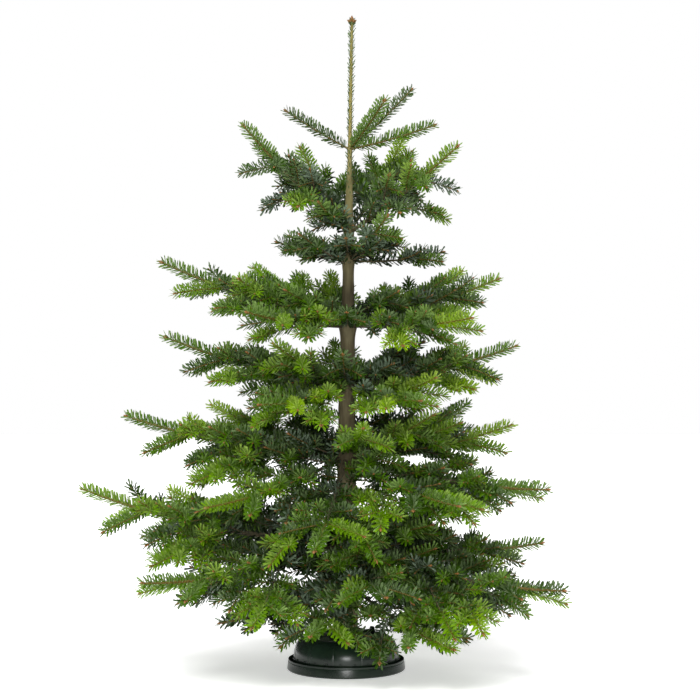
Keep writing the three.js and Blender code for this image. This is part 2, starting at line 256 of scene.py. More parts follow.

# %% [markdown]
# ### Moulded plastic and needles
#
# The stand is dark green plastic with the slight unevenness of a big moulding: a fine grain in its
# surface and a roughness that wanders. Each needle tone is a pair of plain materials. The tones run
# from the fresh yellow-green of the outer sprays through blue-green to the near-black of the shaded
# ones, which is painted shade: a dark colour that stands in for the shade inside the crown.

# %% Moulded plastic and needles
def plastic_finish():
    """Dark green moulding, a little uneven in its colour and its gloss."""
    made, shader = finish_of("moulded_plastic", (0.008, 0.018, 0.011), 0.24)
    tree = made.node_tree
    clouds = noise_at(tree, 14, (1, 1, 1), 3)
    colour = ramp_of(tree, clouds, [(0.3, (0.006, 0.014, 0.008)), (0.7, (0.012, 0.026, 0.016))])
    tree.links.new(colour, shader.inputs["Base Color"])
    rough = node(tree, "ShaderNodeMapRange", {"Value": clouds, "To Min": 0.20, "To Max": 0.30})
    tree.links.new(rough.outputs["Result"], shader.inputs["Roughness"])
    shader.inputs["Specular IOR Level"].default_value = 0.4
    raised_by(tree, shader, noise_at(tree, 900, (1, 1, 1), 2), 0.12, 0.0004)
    return made


moulded_plastic = plastic_finish()
# Painted shade: the near-black shaded tone, and in part the deep and bluish ones, stand in for the shade
# inside the crown; tone_of deals them out by place.
needle_tones = {
    "fresh": ((0.225, 0.395, 0.002), (0.275, 0.405, 0.045)),
    "bright": ((0.142, 0.290, 0.002), (0.210, 0.330, 0.045)),
    "leafy": ((0.072, 0.168, 0.002), (0.150, 0.250, 0.052)),
    "deep": ((0.033, 0.084, 0.003), (0.118, 0.182, 0.066)),
    "bluish": ((0.034, 0.066, 0.018), (0.145, 0.200, 0.130)),
    "shaded": ((0.007, 0.017, 0.002), (0.024, 0.042, 0.016)),
}
needle_gloss, upper_roughness, under_roughness = 0.28, 0.36, 0.6
needle_finishes = {}
for tone, (upper, under) in needle_tones.items():
    pair = [
        finish_of(f"needle_{tone}_upper", upper, upper_roughness),
        finish_of(f"needle_{tone}_under", under, under_roughness),
    ]
    for _, shader in pair:
        shader.inputs["Specular IOR Level"].default_value = needle_gloss
    needle_finishes[tone] = [made for made, _ in pair]
print(len(needle_finishes), "needle tones")

# %% [markdown]
# ## The tree's measurements
#
# These are the same few sizes that the solid model grows from: the trunk's radius at each height, and
# for each whorl its height, sag, hang, thickness, bare share and years, with each bough's azimuth,
# reach and rise. They are in millimetres here, because that is how a tree is measured with a tape, and
# `MM` turns them into metres.

# %% Trunk and whorls
MM = 0.001
trunk_lean = 17.7 * MM
trunk_profile = [
    (12, 43), (45, 39), (120, 36), (395, 32), (655, 28), (860, 25), (1053, 21),
    (1250, 16), (1335, 14), (1475, 10.5), (1600, 8.5), (1720, 7), (1955, 6),
]  # fmt: skip
main, lesser = 1.0, 0.7
whorls = [
    dict(name="top", height=1590, sag=0.02, hang=0, thick=4, bare=0.17, years=1, boughs=[
        ("left", 172, 198, 121, lesser), ("right", 38, 246, 205, lesser),
        ("front", -66, 252, 119, lesser), ("low", -14, 262, 66, lesser)]),
    dict(name="second", height=1335, sag=0.03, hang=0.65, thick=6.5, bare=0.24, years=4, boughs=[
        ("left", 212, 368, 304, main), ("right", -34, 386, 240, main),
        ("back_right", 60, 370, 340, lesser), ("back_left", 125, 270, 286, lesser),
        ("front", -120, 180, 80, lesser)]),
    dict(name="inner", height=1250, sag=0.04, hang=0.1, thick=5, bare=0.2, years=2, boughs=[
        ("front", -62, 245, 122, lesser), ("right", 16, 305, 30, lesser),
        ("left", 196, 155, 32, lesser)]),
    dict(name="third", height=1053, sag=0.03, hang=0.22, thick=8, bare=0.28, years=4, boughs=[
        ("left", 178, 574, 193, main), ("right", 8, 470, 143, main),
        ("front_left", 228, 435, 32, main), ("front_right", -42, 480, 15, lesser),
        ("back_left", 124, 560, 195, lesser), ("back_right", 45, 525, 180, lesser)]),
    dict(name="fourth", height=860, sag=0.03, hang=0.28, thick=8.5, bare=0.24, years=4, boughs=[
        ("left", 174, 567, 156, main), ("right", 4, 520, 128, main),
        ("front_left", 236, 450, -40, lesser), ("front_right", -58, 400, -30, lesser),
        ("back_left", 128, 480, 30, lesser), ("back_right", 45, 545, 128, lesser)]),
    dict(name="fifth", height=655, sag=0.04, hang=0.36, thick=9.5, bare=0.22, years=4, boughs=[
        ("left", 177, 680, 117, main), ("right", -20, 630, -90, main),
        ("high_right", 14, 530, 85, lesser), ("front", -100, 520, -240, lesser),
        ("front_left", 222, 540, -130, lesser), ("front_right", -54, 540, -120, lesser),
        ("back_left", 137, 610, 140, lesser), ("back_right", 45, 560, 145, lesser)]),
    dict(name="sixth", height=395, sag=0.05, hang=0.36, thick=10, bare=0.2, years=4, boughs=[
        ("left", 183, 804, 159, main), ("right", 4, 604, -14, main),
        ("front_left", 213, 694, -84, main), ("front_right", -30, 721, -108, main),
        ("front", -78, 540, -105, lesser), ("back_left", 147, 690, 125, lesser),
        ("back_right", 66, 620, 30, lesser)]),
    dict(name="lowest", height=268, sag=0.04, hang=0.3, thick=8, bare=0.15, years=3, boughs=[
        ("left", 202, 405, -105, lesser), ("front", 256, 425, -105, lesser),
        ("front_right", -54, 520, -140, lesser), ("right", 20, 480, -112, lesser),
        ("back", 118, 470, -108, lesser)]),
]  # fmt: skip
print(len(whorls), "whorls,", sum(len(w["boughs"]) for w in whorls), "boughs")

# %% [markdown]
# ## The rule of growth
#
# A shoot is a shallow curve through three points. Counting back from its tip, each year's growth is a
# fixed share of the one outside it, and a pair of side shoots leaves each joint between two years.
# The newest pair hangs a little under its limb, as the outermost shoots of a fir do.
# Chance is seeded: every shoot has a key made from its parent's key and its place, so the same tree
# grows each time. The rule is the solid model's own, so each side shoot lies where its solid is.

# %% Curves and chance
terminal_share, longest_year, year_ratio = 0.34, 205 * MM, 0.73
side_angle, side_angle_at_tip = math.radians(52), math.radians(44)
side_share, side_most, mid_share, mid_rise = 0.62, 0.42, 0.7, 0.3
newest_share, newest_dip = 0.9, 0.2
side_thickness, droop_at_middle = 0.7, 0.35
length_spread, tilt_spread, bare_side, needle_start = 0.14, 0.1, 0.3, 0.02
stem_taper, thinnest_stem = 0.5, 3.5 * MM
key_range, seed = 4294967296, 11
upward = np.array([0.0, 0.0, 1.0])


def next_key(key):
    return (key * 1664525 + 1013904223) % key_range


def chance(key):
    """A number from -1 to 1."""
    return 2 * next_key(next_key(key)) / key_range - 1


def unit(v):
    return v / np.linalg.norm(v)


def along(arc, t):
    a, b, c = arc
    return (1 - t) ** 2 * a + 2 * t * (1 - t) * b + t * t * c


def axes_at(arc, t):
    """The way forward, the level side and the way up, at a share t of a curve."""
    a, b, c = arc
    forward = unit((1 - t) * (b - a) + t * (c - b))
    side = unit(np.cross(upward, forward))
    return forward, side, np.cross(forward, side)


def arc_length(arc, steps=16):
    points = [along(arc, i / steps) for i in range(steps + 1)]
    return sum(float(np.linalg.norm(q - p)) for p, q in zip(points, points[1:]))


def trunk_axis(z):
    return np.array([trunk_lean * (z / trunk_high.z) ** 2, 0, z])


def bough_arc(whorl, azimuth, reach, rise):
    turn = math.radians(azimuth)
    root = trunk_axis(whorl["height"] * MM)
    tip = root + np.array([math.cos(turn) * reach, math.sin(turn) * reach, rise]) * MM
    middle = (root + tip) / 2 - upward * (2 * whorl["sag"] * reach * MM)
    return root, middle, tip


def side_arc(parent, t, hand, length, tilt):
    forward, side, _ = axes_at(parent, t)
    point = along(parent, t)

    def heading(angle):
        return forward * math.cos(angle) + side * (hand * math.sin(angle))

    middle = point + heading(side_angle) * length / 2 + upward * (droop_at_middle * tilt * length)
    tip = point + heading(side_angle_at_tip) * length + upward * (tilt * length)
    return point, middle, tip


# %% [markdown]
# ### Growing on to the finest twigs
#
# The solid model leaves off side shoots shorter than a hand's width. Here the same rule goes on: the
# short ones stay, each older year carries a pair midway along it on every limb, and small spurs fill
# in between. Each shoot keeps what the dressing needs later, such as its joints, its thickness and the
# spray that it belongs to.

# %% Grow a limb
shortest_twig = 26 * MM
spurs_a_year, shortest_spur, longest_spur, spur_shares = 2, 48 * MM, 125 * MM, (0.13, 0.26)
spur_thickness, spur_rise, rise_chance, place_chance = 4.4 * MM, 0.12, 0.4, 0.12
two_years_from = 0.11  # a side shoot midway along a year is two years old from this length
shoots = []


def keep_shoot(arc, bare, thick, key, rank, spray, joints=()):
    """Notes a shoot. Rank 0 is a bough, 1 its side shoots, and so on."""
    shoots.append(dict(arc=arc, length=arc_length(arc), bare=bare, thick=thick, joints=joints))
    shoots[-1].update(key=key, rank=rank, spray=spray)


def grow(arc, years, bare, thick, hang, key, rank, spray):
    """Adds a limb and all that it carries."""
    whole = arc_length(arc)
    fresh = min(terminal_share * whole, longest_year) if years > 1 else whole
    backs = [fresh * (1 - year_ratio**year) / (1 - year_ratio) for year in range(1, years + 1)]
    keep_shoot(arc, bare, thick, key, rank, spray, [1 - back / whole for back in backs[:-1] if back < whole])
    for half_year in range(2, 2 * years):
        at_joint, year = half_year % 2 == 0, half_year // 2
        back = backs[year - 1] if at_joint else (backs[year - 1] + backs[year]) / 2
        t = 1 - back / whole
        if t < bare:
            continue
        newest, older = half_year == 2, min(side_share * back, side_most * whole)
        full = newest_share * fresh if newest else older * (1 if at_joint else mid_share)
        dip = -newest_dip - math.cos(side_angle_at_tip) * axes_at(arc, t)[0][2]
        rise = dip if newest else -hang if at_joint else mid_rise
        thinner = side_thickness * max(thinnest_stem, thick * (1 - stem_taper * t))
        for hand in (-1, 1):
            side_key = next_key(key + 2 * half_year + (hand + 1) // 2)
            length = full * (1 + length_spread * chance(side_key))
            tilt = rise + tilt_spread * chance(next_key(side_key))
            if length < shortest_twig:
                continue
            grown = year if at_joint else 1 + (length > two_years_from)
            side = side_arc(arc, t, hand, length, tilt)
            grow(side, grown, bare_side, thinner, hang, side_key, rank + 1, spray or side_key)
    if rank < 3 and years > 1:
        add_spurs(arc, backs, whole, bare, key, rank, spray)


def add_spurs(arc, backs, whole, bare, key, rank, spray):
    """Short twigs of one year along the older growth, left and right in turn."""
    older = [*backs[:-1], max(backs[-1], whole * (1 - 0.5 * bare))]
    for year, (outer, inner) in enumerate(zip(older, older[1:])):
        for i in range(spurs_a_year):
            spur_key = next_key(key + 977 * (year + 1) + 131 * i)
            back = outer + (inner - outer) * ((i + 0.5) / spurs_a_year + place_chance * chance(spur_key))
            share = np.interp(chance(next_key(spur_key)), (-1, 1), spur_shares)
            length = min(longest_spur, max(shortest_spur, share * whole))
            hand = 1 if (i + year) % 2 else -1
            tilt = spur_rise + rise_chance * chance(next_key(spur_key + 7))
            spur = side_arc(arc, 1 - back / whole, hand, length, tilt)
            keep_shoot(spur, 0, spur_thickness, spur_key, max(2, rank + 1), spray or spur_key)


# %% Grow every bough
high_whorl, bare_when_high = 1300, 0.3  # a high bough is young, and has needles almost to the trunk
for whorl in whorls:
    for name, azimuth, reach, rise, size in whorl["boughs"]:
        count, first = sum(s["rank"] == 0 for s in shoots), len(shoots)
        grow(bough_arc(whorl, azimuth, reach, rise), whorl["years"], whorl["bare"] + needle_start,
             whorl["thick"] * size * MM, whorl["hang"], seed + count * whorl["height"], 0, 0)  # fmt: skip
        if whorl["height"] > high_whorl:
            shoots[first]["bare"] *= bare_when_high
print(len(shoots), "shoots on", sum(s["rank"] == 0 for s in shoots), "boughs")

# %% [markdown]
# ### Twigs on the trunk
#
# Round each whorl, and more thinly between two whorls, a fir's trunk bears small boughs of its own, a
# hand or two long, and they close the view through the middle of the crown. They follow the same rule.
# Those of a whorl stand round it evenly, the others by the golden angle. Two stretches of trunk stay
# clear on the side where the crown is open.

# %% Grow twigs on the trunk
golden_angle = math.pi * (3 - math.sqrt(5))
trunk_twigs, twigs_low, twigs_high = 22, 0.26, 0.90
twigs_a_whorl, whorl_twigs_high = 8, 1.30
clear_stretches = ((0.750, 0.815), (0.930, 1.040))
open_side, open_half_width = math.radians(-88), 1.25
twig_rise, twig_rise_chance, twig_length_chance, turn_chance = 0.3, 0.2, 0.3, 0.2
twig_sag, twig_bare, twig_thick, twig_hang = 0.05, 0.12, 5 * MM, 0.25
above_whorl, above_whorl_chance = 5, 25


def trunk_twig(z, azimuth, key):
    """A small bough on the trunk, unless it would close a clear stretch."""
    length = float(np.interp(z, [0.7, 1.05, 1.3], [0.29, 0.27, 0.19]))
    length *= 1 + twig_length_chance * chance(key)
    rise = length * (twig_rise + twig_rise_chance * chance(next_key(key)))
    turned_away = abs(math.remainder(azimuth - open_side, 2 * math.pi))
    if turned_away < open_half_width and any(low < z + rise / 2 < high for low, high in clear_stretches):
        return
    root = trunk_axis(z)
    tip = root + np.array([math.cos(azimuth) * length, math.sin(azimuth) * length, rise])
    middle = (root + tip) / 2 - upward * (twig_sag * length)
    grow((root, middle, tip), 2, twig_bare, twig_thick, twig_hang, key, 1, key)


for i in range(trunk_twigs):
    z = twigs_low + (twigs_high - twigs_low) * (i + 0.5) / trunk_twigs
    trunk_twig(z, golden_angle * i, next_key(seed + 5 * i))
for whorl in whorls:
    height = whorl["height"]
    for i in range(twigs_a_whorl if height * MM < whorl_twigs_high else 0):
        key = next_key(seed + height + 13 * i)
        azimuth = open_side + 2 * math.pi * (i + turn_chance * chance(key)) / twigs_a_whorl
        z = (height + above_whorl + above_whorl_chance * chance(next_key(key + 5))) * MM
        trunk_twig(z, azimuth, key)
print(len(shoots), "shoots,", round(sum(s["length"] for s in shoots), 1), "m of twig")

# %% [markdown]
# ### Years of growth on each shoot
#
# A twig thickens and turns from yellow-brown to grey-brown as it ages, and its needles are longest in
# the middle of each year's growth. So every shoot is cut at its joints into one strand a year. Each
# strand is a line of points with what the dressing needs at every point, and Geometry Nodes read these
# as named attributes. Strands could carry a lookup from shoot to age instead, but separate lines keep
# each tree of nodes simple.

# %% Cut shoots into strands
strand_step = 11 * MM
twig_root, twig_tips = 0.5, (2.6 * MM, 2.1 * MM, 1.5 * MM)
needles_from, needles_to, shortest_strand = 7 * MM, 7 * MM, 8 * MM


def twig_radius(shoot, t):
    """A shoot's radius, from thick at its root to thin at its tip."""
    tip = twig_tips[min(shoot["rank"], 2)]
    root = max(1.1 * tip, shoot["thick"] * (twig_root if shoot["rank"] else 1))
    return tip + (root - tip) * (1 - t) ** 0.8


def strand_points(shoot, t0, t1):
    """Evenly spaced shares of a shoot, and its points there."""
    count = max(3, round((t1 - t0) * shoot["length"] / strand_step) + 1)
    shares = np.linspace(t0, t1, count)
    return shares, np.array([along(shoot["arc"], t) for t in shares])


strands = []
for shoot in shoots:
    marks = [1.0, *shoot["joints"], 0.0]
    first = shoot["bare"] if shoot["rank"] == 0 else needles_from / shoot["length"]
    marks[0] -= needles_to / shoot["length"]
    for age, (outer, inner) in enumerate(zip(marks, marks[1:])):
        low = max(inner, first)
        if (outer - low) * shoot["length"] < shortest_strand:
            continue
        shares, points = strand_points(shoot, low, outer)
        strands.append(dict(shoot=shoot, age=age, shares=shares, points=points))
print(len(strands), "strands,", sum(len(s["points"]) for s in strands), "points")

# %% [markdown]
# ## Lofting limbs
#
# Trunk, boughs and stand parts are all skins over rings. Blender can bevel a curve into a tube, but
# then bark has no relief of its own and every limb keeps a round section. A skin over rings costs a
# few lines and lets each ring be swollen, dented or turned, so that is how the limbs are made here.

# %% A skin over rings
def skin(rings):
    """Quads between rings of equal length, with both ends closed."""
    rings = np.asarray(rings)
    count, sides = rings.shape[:2]
    faces = []
    for j in range(count - 1):
        a, b = j * sides, (j + 1) * sides
        faces += [(a + i, a + (i + 1) % sides, b + (i + 1) % sides, b + i) for i in range(sides)]
    faces.append(tuple(range(sides - 1, -1, -1)))
    faces.append(tuple((count - 1) * sides + i for i in range(sides)))
    return rings.reshape(-1, 3), faces


def joined(parts):
    """Several (points, faces) as one."""
    points, faces, start = [], [], 0
    for some_points, some_faces in parts:
        points.append(np.asarray(some_points))
        faces += [tuple(start + i for i in face) for face in some_faces]
        start += len(some_points)
    return np.concatenate(points), faces


def finished(name, parts, replaces, materials, sharpest=38):
    """Makes the piece, lets it ride on the tree and hides the solids that it stands for."""
    points, faces = joined(parts)
    made = plain_mesh(name, points, faces)
    for material in materials:
        made.data.materials.append(material)
    made.data.set_sharp_from_angle(angle=math.radians(sharpest))
    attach(made, "root")
    if replaces:
        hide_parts(*replaces)
    return made


def triangles(piece):
    return sum(len(p.vertices) - 2 for p in piece.data.polygons)


# %% [markdown]
# ## Trunk
#
# The trunk tapers from a flared foot in the stand to a leader thinner than a finger, and it leans a
# little. It swells at each whorl, and each bough leaves a ridge under itself. Smooth fir bark has faint
# level wrinkles, an upright grain and blisters of resin. A bump in the finish could show them, but they
# are large enough to break the outline, so noise moves each ring's points in and out by a millimetre
# or so.

# %% Trunk
trunk_sides, ring_step = 40, 7 * MM
leader_from, leader_slim, leader_end = 1.56, 0.72, 1.980
collar_width, collar_swell = 17 * MM, 0.13
ridge_width, ridge_swell, ridge_below, ridge_turn = 26 * MM, 0.16, 8 * MM, 0.45
wrinkle_relief, grain_relief, blister_relief, broad_relief = 0.009, 0.02, 0.1, 0.05


def trunk_radius(z):
    heights = [h * MM for h, _ in trunk_profile]
    radius = float(np.interp(z, heights, [r * MM for _, r in trunk_profile]))
    slim = np.interp(z, [leader_from - 0.1, leader_from], [1, leader_slim])
    from_whorls = [(z - whorl["height"] * MM) / collar_width for whorl in whorls]
    return radius * slim * (1 + sum(collar_swell * math.exp(-(away**2)) for away in from_whorls))


def waves(turn, z, around, up, shift=0.0):
    """Noise with finer waves round the trunk for a larger `around`, and up it for a larger `up`."""
    return noise.noise(Vector((math.cos(turn) * around, math.sin(turn) * around, z * up + shift)))


def bark_height(z, turn):
    """How far bark stands out, as a share of the radius, with the ridges under boughs."""
    blister = max(0.0, waves(turn, z, 3.5, 30, 7) - 0.25)
    relief = wrinkle_relief * waves(turn, z, 1.6, 95) + grain_relief * waves(turn, z, 7, 9)
    relief += blister_relief * blister + broad_relief * waves(turn, z, 1, 7)
    for whorl in whorls:
        below = (z - whorl["height"] * MM + ridge_below) / ridge_width
        if abs(below) < 2:
            for _, azimuth, _, _, size in whorl["boughs"]:
                apart = math.remainder(turn - math.radians(azimuth), 2 * math.pi)
                relief += ridge_swell * size * math.exp(-(below**2) - (apart / ridge_turn) ** 2)
    return relief


rings = []
for z in np.arange(trunk_low.z, leader_end, ring_step):
    middle, radius = trunk_axis(z), trunk_radius(z)
    turns = np.linspace(0, 2 * math.pi, trunk_sides, endpoint=False)
    rings.append([
        middle + radius * (1 + bark_height(z, turn)) * np.array([math.cos(turn), math.sin(turn), 0])
        for turn in turns
    ])  # fmt: skip
trunk = finished("trunk_with_bark", [skin(rings)], ["trunk"], [fir_bark])
print(trunk.name, triangles(trunk), "triangles")

# %% [markdown]
# ## Boughs
#
# Each bough is one tapering limb that starts inside the trunk, swells where it leaves it and again at
# each year's joint. All of them follow the arcs that the rule gave, up to the joint where the newest
# year begins, because that year still has the smooth skin of a twig. They are joined into one piece,
# because they share one bark.

# %% Boughs
bough_sides, bough_step, bough_overlap = 8, 13 * MM, 3 * MM
root_swell, root_width, joint_swell, joint_width = 0.35, 14 * MM, 0.16, 6 * MM
bough_relief, bough_waves = 0.12, 60
bough_nodes = sorted(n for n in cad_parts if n.startswith("bough_"))


def bough_rings(shoot):
    """Rings along a bough, up to where its newest year begins."""
    end = (shoot["joints"][0] if shoot["joints"] else shoot["bare"]) + bough_overlap / shoot["length"]
    count = max(6, round(end * shoot["length"] / bough_step))
    rings = []
    for i in range(count + 1):
        t = end * i / count
        _, side, up = axes_at(shoot["arc"], t)
        middle = along(shoot["arc"], t)
        from_trunk = t * shoot["length"] - trunk_radius(shoot["arc"][0][2])
        radius = twig_radius(shoot, t) * (1 + root_swell * math.exp(-max(0.0, from_trunk) / root_width))
        from_joints = [(t - joint) * shoot["length"] / joint_width for joint in shoot["joints"]]
        radius *= 1 + sum(joint_swell * math.exp(-(away**2)) for away in from_joints)
        rings.append([])
        for k in range(bough_sides):
            turn = 2 * math.pi * k / bough_sides
            place = middle + radius * (side * math.cos(turn) + up * math.sin(turn))
            rough = 1 + bough_relief * noise.noise(Vector(place * bough_waves))
            rings[-1].append(middle + (place - middle) * rough)
    return rings


boughs = finished(
    "boughs_with_bark",
    [skin(bough_rings(s)) for s in shoots if s["rank"] == 0],
    bough_nodes,
    [bough_bark],
)
print(boughs.name, triangles(boughs), "triangles")

# %% [markdown]
# ## Trees of nodes
#
# Twigs, needles and buds are far too many to lay by hand, so Geometry Nodes lay them along the
# strands. The helpers here start a tree of nodes, add what several trees need, and turn a finished
# modifier into a plain mesh. Each tree ends by making its instances real and giving them their finish.
# A modifier's inputs are set by identifier, before Blender first evaluates it.

# %% Helpers for trees of nodes
def new_tree(name, inputs):
    """A tree of nodes with named inputs, and its two end nodes."""
    tree = bpy.data.node_groups.new(name, "GeometryNodeTree")
    tree.interface.new_socket("Geometry", in_out="INPUT", socket_type="NodeSocketGeometry")
    tree.interface.new_socket("Geometry", in_out="OUTPUT", socket_type="NodeSocketGeometry")
    for label, kind in inputs.items():
        tree.interface.new_socket(label, in_out="INPUT", socket_type=f"NodeSocket{kind}")
    return tree, tree.nodes.new("NodeGroupInput"), tree.nodes.new("NodeGroupOutput")


def calc(tree, operation, *values):
    """A sum on numbers or sockets."""
    made = node(tree, "ShaderNodeMath", dict(enumerate(values)), operation=operation)
    return made.outputs[0]


def vector_calc(tree, operation, first, second):
    """The same on directions."""
    label = "Scale" if operation == "SCALE" else 1
    made = node(tree, "ShaderNodeVectorMath", {0: first, label: second}, operation=operation)
    return made.outputs[0]


def named(tree, name, kind="FLOAT"):
    """The value that each point or face carries under a name."""
    made = node(tree, "GeometryNodeInputNamedAttribute", {"Name": name}, data_type=kind)
    return made.outputs["Attribute"]


def mixed_by_turn(tree, first, second, turn):
    """A direction between two others that stand square to each other."""
    first = vector_calc(tree, "SCALE", first, calc(tree, "COSINE", turn))
    return vector_calc(tree, "ADD", first, vector_calc(tree, "SCALE", second, calc(tree, "SINE", turn)))


def lines_as_curves(tree, given):
    return node(tree, "GeometryNodeMeshToCurve", {"Mesh": given.outputs["Geometry"]}).outputs["Curve"]


def placed(tree, shape, points, turned_by, size):
    """An object's shape on each point."""
    made = node(tree, "GeometryNodeObjectInfo", {"Object": shape})
    inputs = {"Points": points, "Instance": made.outputs["Geometry"], "Rotation": turned_by, "Scale": size}
    return node(tree, "GeometryNodeInstanceOnPoints", inputs).outputs["Instances"]


def end_tree(tree, result, geometry, finishes):
    """Makes instances real and sets each material of (material, which faces) in turn."""
    real = node(tree, "GeometryNodeRealizeInstances", {"Geometry": geometry})
    for material, chosen in finishes:
        inputs = {"Geometry": real.outputs["Geometry"], "Selection": chosen, "Material": material}
        real = node(tree, "GeometryNodeSetMaterial", inputs)
    tree.links.new(real.outputs["Geometry"], result.inputs["Geometry"])
    print(tree.name, len(tree.nodes), "nodes")


def line_mesh(name, lines, values):
    """Lines of points as an object with edges, and a number or vector at each point by name."""
    counts = [len(line) for line in lines]
    starts = np.cumsum([0, *counts[:-1]])
    edges = [(s + i, s + i + 1) for s, n in zip(starts, counts) for i in range(n - 1)]
    made = plain_mesh(name, np.concatenate(lines), [], edges)
    for label, numbers in values.items():
        numbers = np.concatenate(numbers).astype(np.float32)
        kind = "FLOAT" if numbers.ndim == 1 else "FLOAT_VECTOR"
        layer = made.data.attributes.new(label, kind, "POINT")
        layer.data.foreach_set("value" if numbers.ndim == 1 else "vector", numbers.ravel())
    return made


def grown_by(tree, carrier, name, settings):
    """Runs a tree of nodes on an object and keeps the result as a plain mesh."""
    modifier = carrier.modifiers.new(tree.name, "NODES")
    modifier.node_group = tree
    for item in tree.interface.items_tree:
        if item.in_out == "INPUT" and item.name in settings:
            modifier[item.identifier] = settings[item.name]
    evaluated = carrier.evaluated_get(bpy.context.evaluated_depsgraph_get())
    mesh = bpy.data.meshes.new_from_object(evaluated)
    mesh.name = name
    made = in_scene(name, mesh)
    carrier.modifiers.remove(modifier)
    bpy.data.objects.remove(carrier)
    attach(made, "root")
    return made


# %% [markdown]
# ## Twigs
#
# A twig is a thin round rod, thickest at its root. A skin over rings could make each one, but one tree
# of nodes makes them all at once. Mesh to Curve turns each strand into a curve, the named attribute
# gives its radius at every point, and Curve to Mesh sweeps a five-sided ring along it. Last year's
# growth is yellow-brown and what is older is grey-brown, and each kind is one piece.

# %% Twigs
twig_tree, given, result = new_tree("twig_tree", {"Sides": "Int", "Finish": "Material"})
ring = node(
    twig_tree, "GeometryNodeCurvePrimitiveCircle", {"Resolution": given.outputs["Sides"], "Radius": 1.0}
)
swept = node(
    twig_tree,
    "GeometryNodeCurveToMesh",
    {
        "Curve": lines_as_curves(twig_tree, given),
        "Profile Curve": ring.outputs["Curve"],
        "Scale": named(twig_tree, "girth"),
        "Fill Caps": True,
    },
)
smoothed = node(twig_tree, "GeometryNodeSetShadeSmooth", {"Geometry": swept.outputs["Mesh"]})
end_tree(twig_tree, result, smoothed.outputs["Geometry"], [(given.outputs["Finish"], True)])

twig_sides, twig_joint_step = 5, 32 * MM
for name, finish_used, is_young in (("young_twigs", young_twig, True), ("older_twigs", old_twig, False)):
    lines, girths = [], []
    for strand in strands:
        shoot = strand["shoot"]
        if (strand["age"] == 0) != is_young or (shoot["rank"] == 0 and not is_young):
            continue
        t0 = 0.0 if strand["shares"][0] < 0.1 and shoot["rank"] else strand["shares"][0]
        t1 = 1.0 if is_young else strand["shares"][-1]
        count = max(2, round((t1 - t0) * shoot["length"] / twig_joint_step) + 1)
        shares = np.linspace(t0, t1, count)
        lines.append(np.array([along(shoot["arc"], t) for t in shares]))
        girths.append(np.array([twig_radius(shoot, t) for t in shares]))
    carrier = line_mesh(name + "_lines", lines, {"girth": girths})
    twigs = grown_by(twig_tree, carrier, name, {"Sides": twig_sides, "Finish": finish_used})
    print(twigs.name, triangles(twigs), "triangles")

# %% [markdown]
# ## Needles
#
# A fir needle is flat and about 28 mm long, glossy above and pale below. The needles stand nearly all
# round a twig, upright on top and leaning forward more and more down its sides, and part underneath,
# so that the twig shows from below. Each is a blunt blade of eight triangles, which is one closed
# solid: flat on top and with a keel beneath. It could be a single sheet, but a sheet has no underside
# of its own.

# %% One needle
def needle_shape():
    """A needle one unit long, along X, with its flat face up and a keel beneath."""
    root_width, half_width, shoulder, keel_at, keel = 0.045, 0.086, 0.86, 0.55, 0.06
    left = [(0, root_width, 0), (shoulder, half_width, 0)]
    right = [(x, -y, z) for x, y, z in left]
    rim = [left[0], *right, (1, 0, 0), left[1]]
    upper = [(0, 1, 2), (0, 2, 4), (2, 3, 4)]
    under = [((i + 1) % 5, i, 5) for i in range(5)]
    made = plain_mesh("needle_shape", [*rim, (keel_at, 0, -keel)], upper + under)
    beneath = made.data.attributes.new("under", "BOOLEAN", "FACE")
    beneath.data.foreach_set("value", [False] * len(upper) + [True] * len(under))
    return made


needle = needle_shape()
needle_faces = len(needle.data.polygons)
print(needle.name, needle_faces, "faces")

# %% [markdown]
# ### The tree of nodes that sets needles
#
# Curve to Points lays a point for each needle. Its place in the row, times the golden ratio, gives a
# turn round the twig that never repeats. The turn and the lean make a direction out of the curve's
# tangent, side and up, and the needle's flat face is then turned towards the sky, with a little chance.

# %% Needle tree: points along the strands
needle_tree, given, result = new_tree(
    "needle_tree",
    {
        "Needle": "Object", "Widest Turn": "Float", "Lean On Top": "Float", "Lean Beneath": "Float",
        "Breadth": "Float", "Seed": "Int", "Upper": "Material", "Under": "Material",
    },
)  # fmt: skip
golden_ratio, face_ahead = 0.6180339, 0.25
lean_chance, face_chance, length_chance = 0.09, 0.9, 0.1
curves = lines_as_curves(needle_tree, given)
level = node(needle_tree, "GeometryNodeSetCurveNormal", {"Curve": curves}, mode="Z_UP")
row = node(
    needle_tree,
    "GeometryNodeCurveToPoints",
    {"Curve": level.outputs["Curve"], "Length": named(needle_tree, "pitch")},
    mode="LENGTH",
)
ahead, side = row.outputs["Tangent"], row.outputs["Normal"]
up = vector_calc(needle_tree, "CROSS_PRODUCT", side, ahead)
place = node(needle_tree, "GeometryNodeInputIndex", {}).outputs[0]
share = calc(needle_tree, "FRACT", calc(needle_tree, "MULTIPLY", place, golden_ratio))
across = calc(needle_tree, "SUBTRACT", calc(needle_tree, "MULTIPLY", share, 2.0), 1.0)
print(len(needle_tree.nodes), "nodes so far")

# %% [markdown]
# `across` runs from -1 to 1, from the lowest needle on one side, over the top, to the lowest on the
# other. Its size sets the lean, and its sign the side. Needles on top stand almost square to the twig,
# and those beneath lie well forward along it, as on the real twig.

